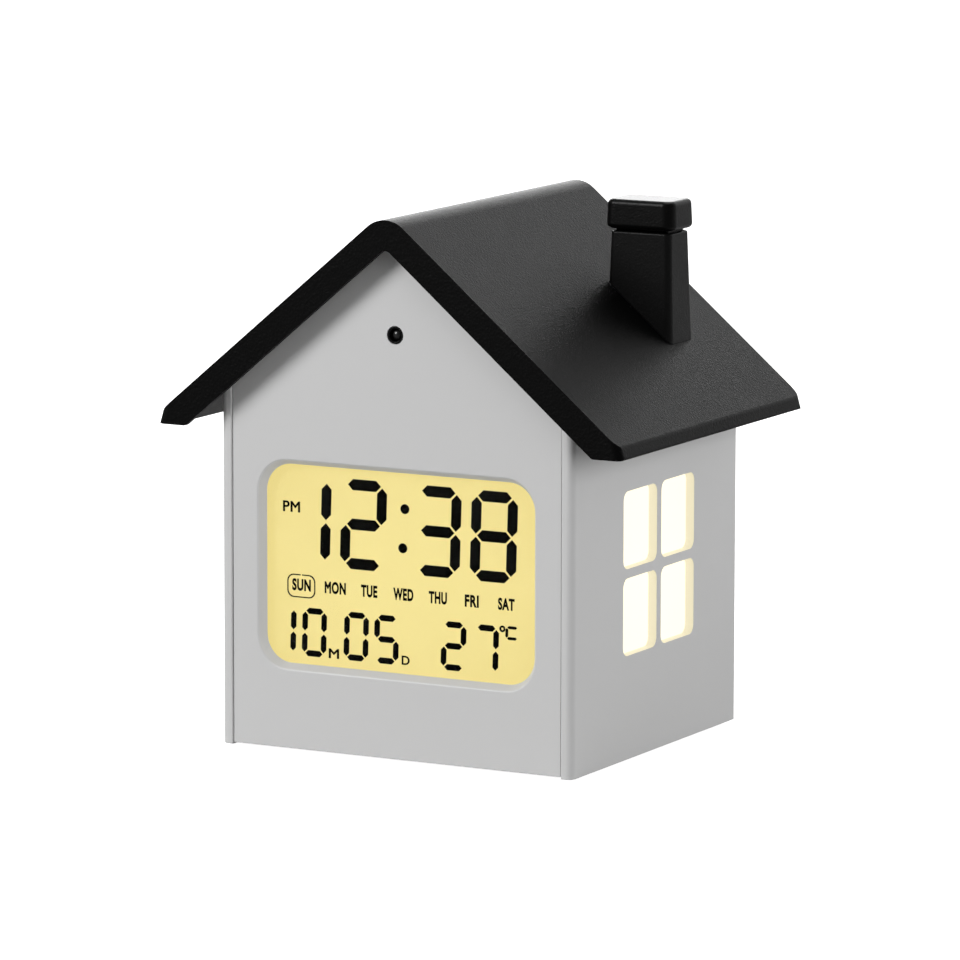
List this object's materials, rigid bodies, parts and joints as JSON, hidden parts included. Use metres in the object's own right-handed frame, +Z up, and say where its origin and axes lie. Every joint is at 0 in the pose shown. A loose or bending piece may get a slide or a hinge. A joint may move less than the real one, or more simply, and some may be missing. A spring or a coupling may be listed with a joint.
{
  "type": "digital alarm clock",
  "caption": "House-shaped table alarm clock: backlit display in the gable front, lit side windows, pitched roof, chimney cap as snooze button, keys, alarm switch and battery door at the back.",
  "frame": {"origin": "under the middle of the roof, on the surface that the feet stand on", "axes": "+X right as seen from the front, the front faces -Y, +Z up"},
  "size_m": [0.1104, 0.086, 0.1156],
  "materials": {
    "grey_plastic": "light grey moulded plastic, satin",
    "black_plastic": "black moulded plastic, fine grain",
    "dark_plastic": "dark grey moulded plastic",
    "clear_lens": "clear acrylic",
    "display_yellow": "yellow backlit display",
    "display_black": "dark display segments",
    "light_guide": "warm lit plastic",
    "milky_plastic": "milky diffuser",
    "white_plastic": "white moulded plastic",
    "circuit_board": "green solder mask",
    "steel": "zinc plated",
    "rubber": "soft black rubber",
    "cell_jacket": "printed cell jacket",
    "sensor_dome": "dark clear dome"
  },
  "bodies": {
    "case": {"body_shell": "grey_plastic", "front_panel": "grey_plastic", "rear_cover": "grey_plastic", "roof": "black_plastic", "chimney_stack": "black_plastic", "snooze_switch": "steel", "snooze_board": "circuit_board", "lcd_lens": "clear_lens", "lcd_glass": "display_yellow", "lcd_segments": "display_black", "backlight_panel": "light_guide", "lcd_frame": "white_plastic", "zebra_strip": "rubber", "main_board": "circuit_board", "main_board_screws": "steel", "control_chip": "dark_plastic", "clock_crystal": "steel", "light_sensor": "sensor_dome", "sensor_collar": "black_plastic", "sensor_board": "circuit_board", "window_diffuser_right": "milky_plastic", "window_diffuser_left": "milky_plastic", "light_box_right": "white_plastic", "light_box_left": "white_plastic", "light_board_right": "circuit_board", "light_board_left": "circuit_board", "window_leds_right": "light_guide", "window_leds_left": "light_guide", "battery_tray": "dark_plastic", "battery_cells": "cell_jacket", "battery_springs": "steel", "battery_contacts": "steel", "button_switches": "steel", "button_board": "circuit_board", "button_board_screws": "steel", "alarm_switch_body": "steel", "buzzer": "dark_plastic", "rear_screws": "steel", "roof_screws": "steel", "rubber_feet": "rubber"},
    "snooze_cap": {"chimney_cap": "black_plastic", "cap_clip": "steel", "snooze_actuator": "dark_plastic"},
    "alarm_slider": {"alarm_switch_knob": "dark_plastic"},
    "door": {"battery_door": "grey_plastic"},
    "mode_key": {"mode_button": "dark_plastic", "mode_actuator": "dark_plastic"},
    "set_key": {"set_button": "dark_plastic", "set_actuator": "dark_plastic"},
    "up_key": {"up_button": "dark_plastic", "up_actuator": "dark_plastic"},
    "down_key": {"down_button": "dark_plastic", "down_actuator": "dark_plastic"}
  },
  "joints": [
    {"name": "snooze_press", "type": "slide", "parent": "case", "child": "snooze_cap", "axis": [0, 0, -1], "range_m": [0, 0.0004], "stiffness_N_per_m": 150, "springref_m": -0.002},
    {"name": "mode_press", "type": "slide", "parent": "case", "child": "mode_key", "axis": [0, -1, 0], "range_m": [0, 0.0008], "stiffness_N_per_m": 150, "springref_m": -0.002},
    {"name": "set_press", "type": "slide", "parent": "case", "child": "set_key", "axis": [0, -1, 0], "range_m": [0, 0.0008], "stiffness_N_per_m": 150, "springref_m": -0.002},
    {"name": "up_press", "type": "slide", "parent": "case", "child": "up_key", "axis": [0, -1, 0], "range_m": [0, 0.0008], "stiffness_N_per_m": 150, "springref_m": -0.002},
    {"name": "down_press", "type": "slide", "parent": "case", "child": "down_key", "axis": [0, -1, 0], "range_m": [0, 0.0008], "stiffness_N_per_m": 150, "springref_m": -0.002},
    {"name": "alarm_slide", "type": "slide", "parent": "case", "child": "alarm_slider", "axis": [1, 0, 0], "range_m": [0, 0.003]},
    {"name": "battery_door_hinge", "type": "hinge", "parent": "case", "child": "door", "pos_m": [0, 0.0352, 0.0092], "axis": [-1, 0, 0], "range_deg": [0, 90]}
  ]
}
